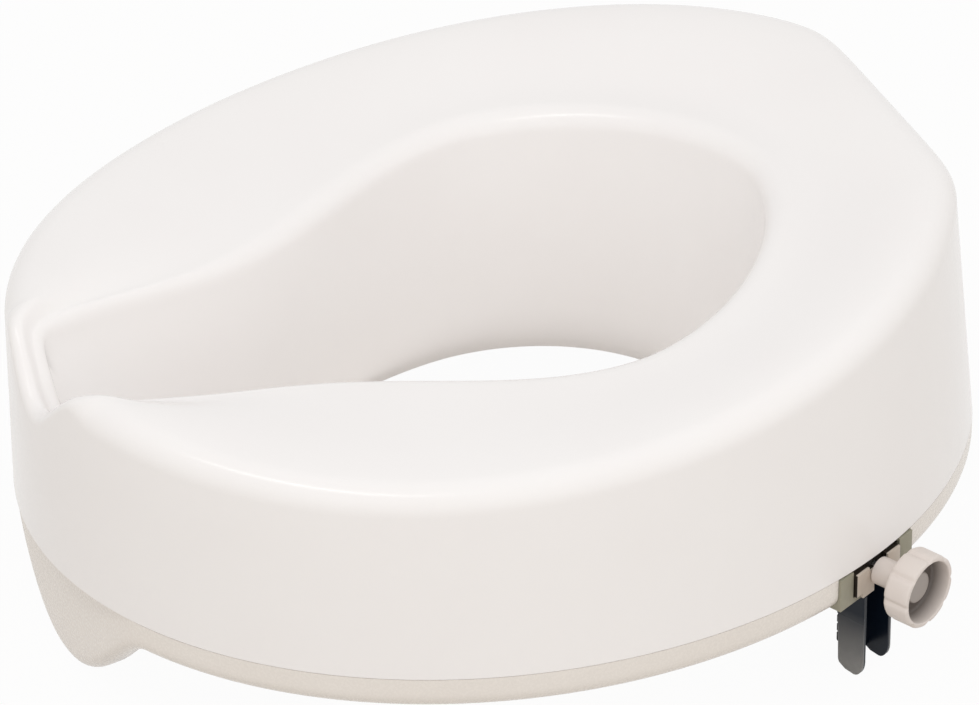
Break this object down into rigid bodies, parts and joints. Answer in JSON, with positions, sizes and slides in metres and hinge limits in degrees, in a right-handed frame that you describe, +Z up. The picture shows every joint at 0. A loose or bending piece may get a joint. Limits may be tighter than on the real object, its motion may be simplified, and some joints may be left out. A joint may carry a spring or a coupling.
{
  "type": "raised toilet seat",
  "caption": "White moulded raised toilet seat with a keyhole opening, a front locating lip and knob driven side clamps that grip the bowl.",
  "frame": {"origin": "under the middle of the seat, at the level of the lowest points of the lip and the clamp arms", "axes": "+Z up, -Y towards the front with the lip and notch, +X towards the user's left"},
  "size_m": [0.3566, 0.402, 0.1755],
  "materials": {
    "seat_white": "satin white polypropylene",
    "base_white": "satin white polypropylene",
    "guide_grey": "matt grey plastic",
    "knob_grey": "satin warm grey plastic",
    "arm_black": "glossy black coating on steel",
    "zinc": "zinc plated",
    "rubber": "matt black rubber"
  },
  "bodies": {
    "root": {"seat_shell": "seat_white", "base_tray": "base_white", "bowl_pad_front_left": "rubber", "bowl_pad_rear_left": "rubber", "bowl_pad_front_right": "rubber", "bowl_pad_rear_right": "rubber", "clamp_guide_left": "guide_grey", "spindle_nut_left": "zinc", "guide_screw_front_left": "zinc", "guide_screw_rear_left": "zinc", "clamp_guide_right": "guide_grey", "spindle_nut_right": "zinc", "guide_screw_front_right": "zinc", "guide_screw_rear_right": "zinc"},
    "clamp_left": {"clamp_slider_left": "knob_grey", "clamp_arm_left": "arm_black", "arm_screw_front_left": "zinc", "arm_screw_rear_left": "zinc", "grip_pad_left": "rubber"},
    "clamp_right": {"clamp_slider_right": "knob_grey", "clamp_arm_right": "arm_black", "arm_screw_front_right": "zinc", "arm_screw_rear_right": "zinc", "grip_pad_right": "rubber"},
    "knob_left": {"clamp_knob_left": "knob_grey", "spindle_left": "zinc", "thrust_washer_left": "zinc", "spindle_clip_left": "zinc"},
    "knob_right": {"clamp_knob_right": "knob_grey", "spindle_right": "zinc", "thrust_washer_right": "zinc", "spindle_clip_right": "zinc"}
  },
  "joints": [
    {"name": "clamp_left_slide", "type": "slide", "parent": "root", "child": "clamp_left", "axis": [0.898, 0.4399, 0], "range_m": [-0.008, 0.017]},
    {"name": "knob_left_turn", "type": "hinge", "parent": "clamp_left", "child": "knob_left", "pos_m": [0.1477, 0.1116, 0.05], "axis": [0.898, 0.4399, 0], "range_deg": [-1441, 3061]},
    {"name": "clamp_right_slide", "type": "slide", "parent": "root", "child": "clamp_right", "axis": [-0.898, 0.4399, 0], "range_m": [-0.008, 0.017]},
    {"name": "knob_right_turn", "type": "hinge", "parent": "clamp_right", "child": "knob_right", "pos_m": [-0.1477, 0.1116, 0.05], "axis": [-0.898, 0.4399, 0], "range_deg": [-1441, 3061]}
  ],
  "couplings": [
    {"joint": "knob_left_turn", "follows": "clamp_left_slide", "rad_per_m": 3141.6},
    {"joint": "knob_right_turn", "follows": "clamp_right_slide", "rad_per_m": 3141.6}
  ]
}
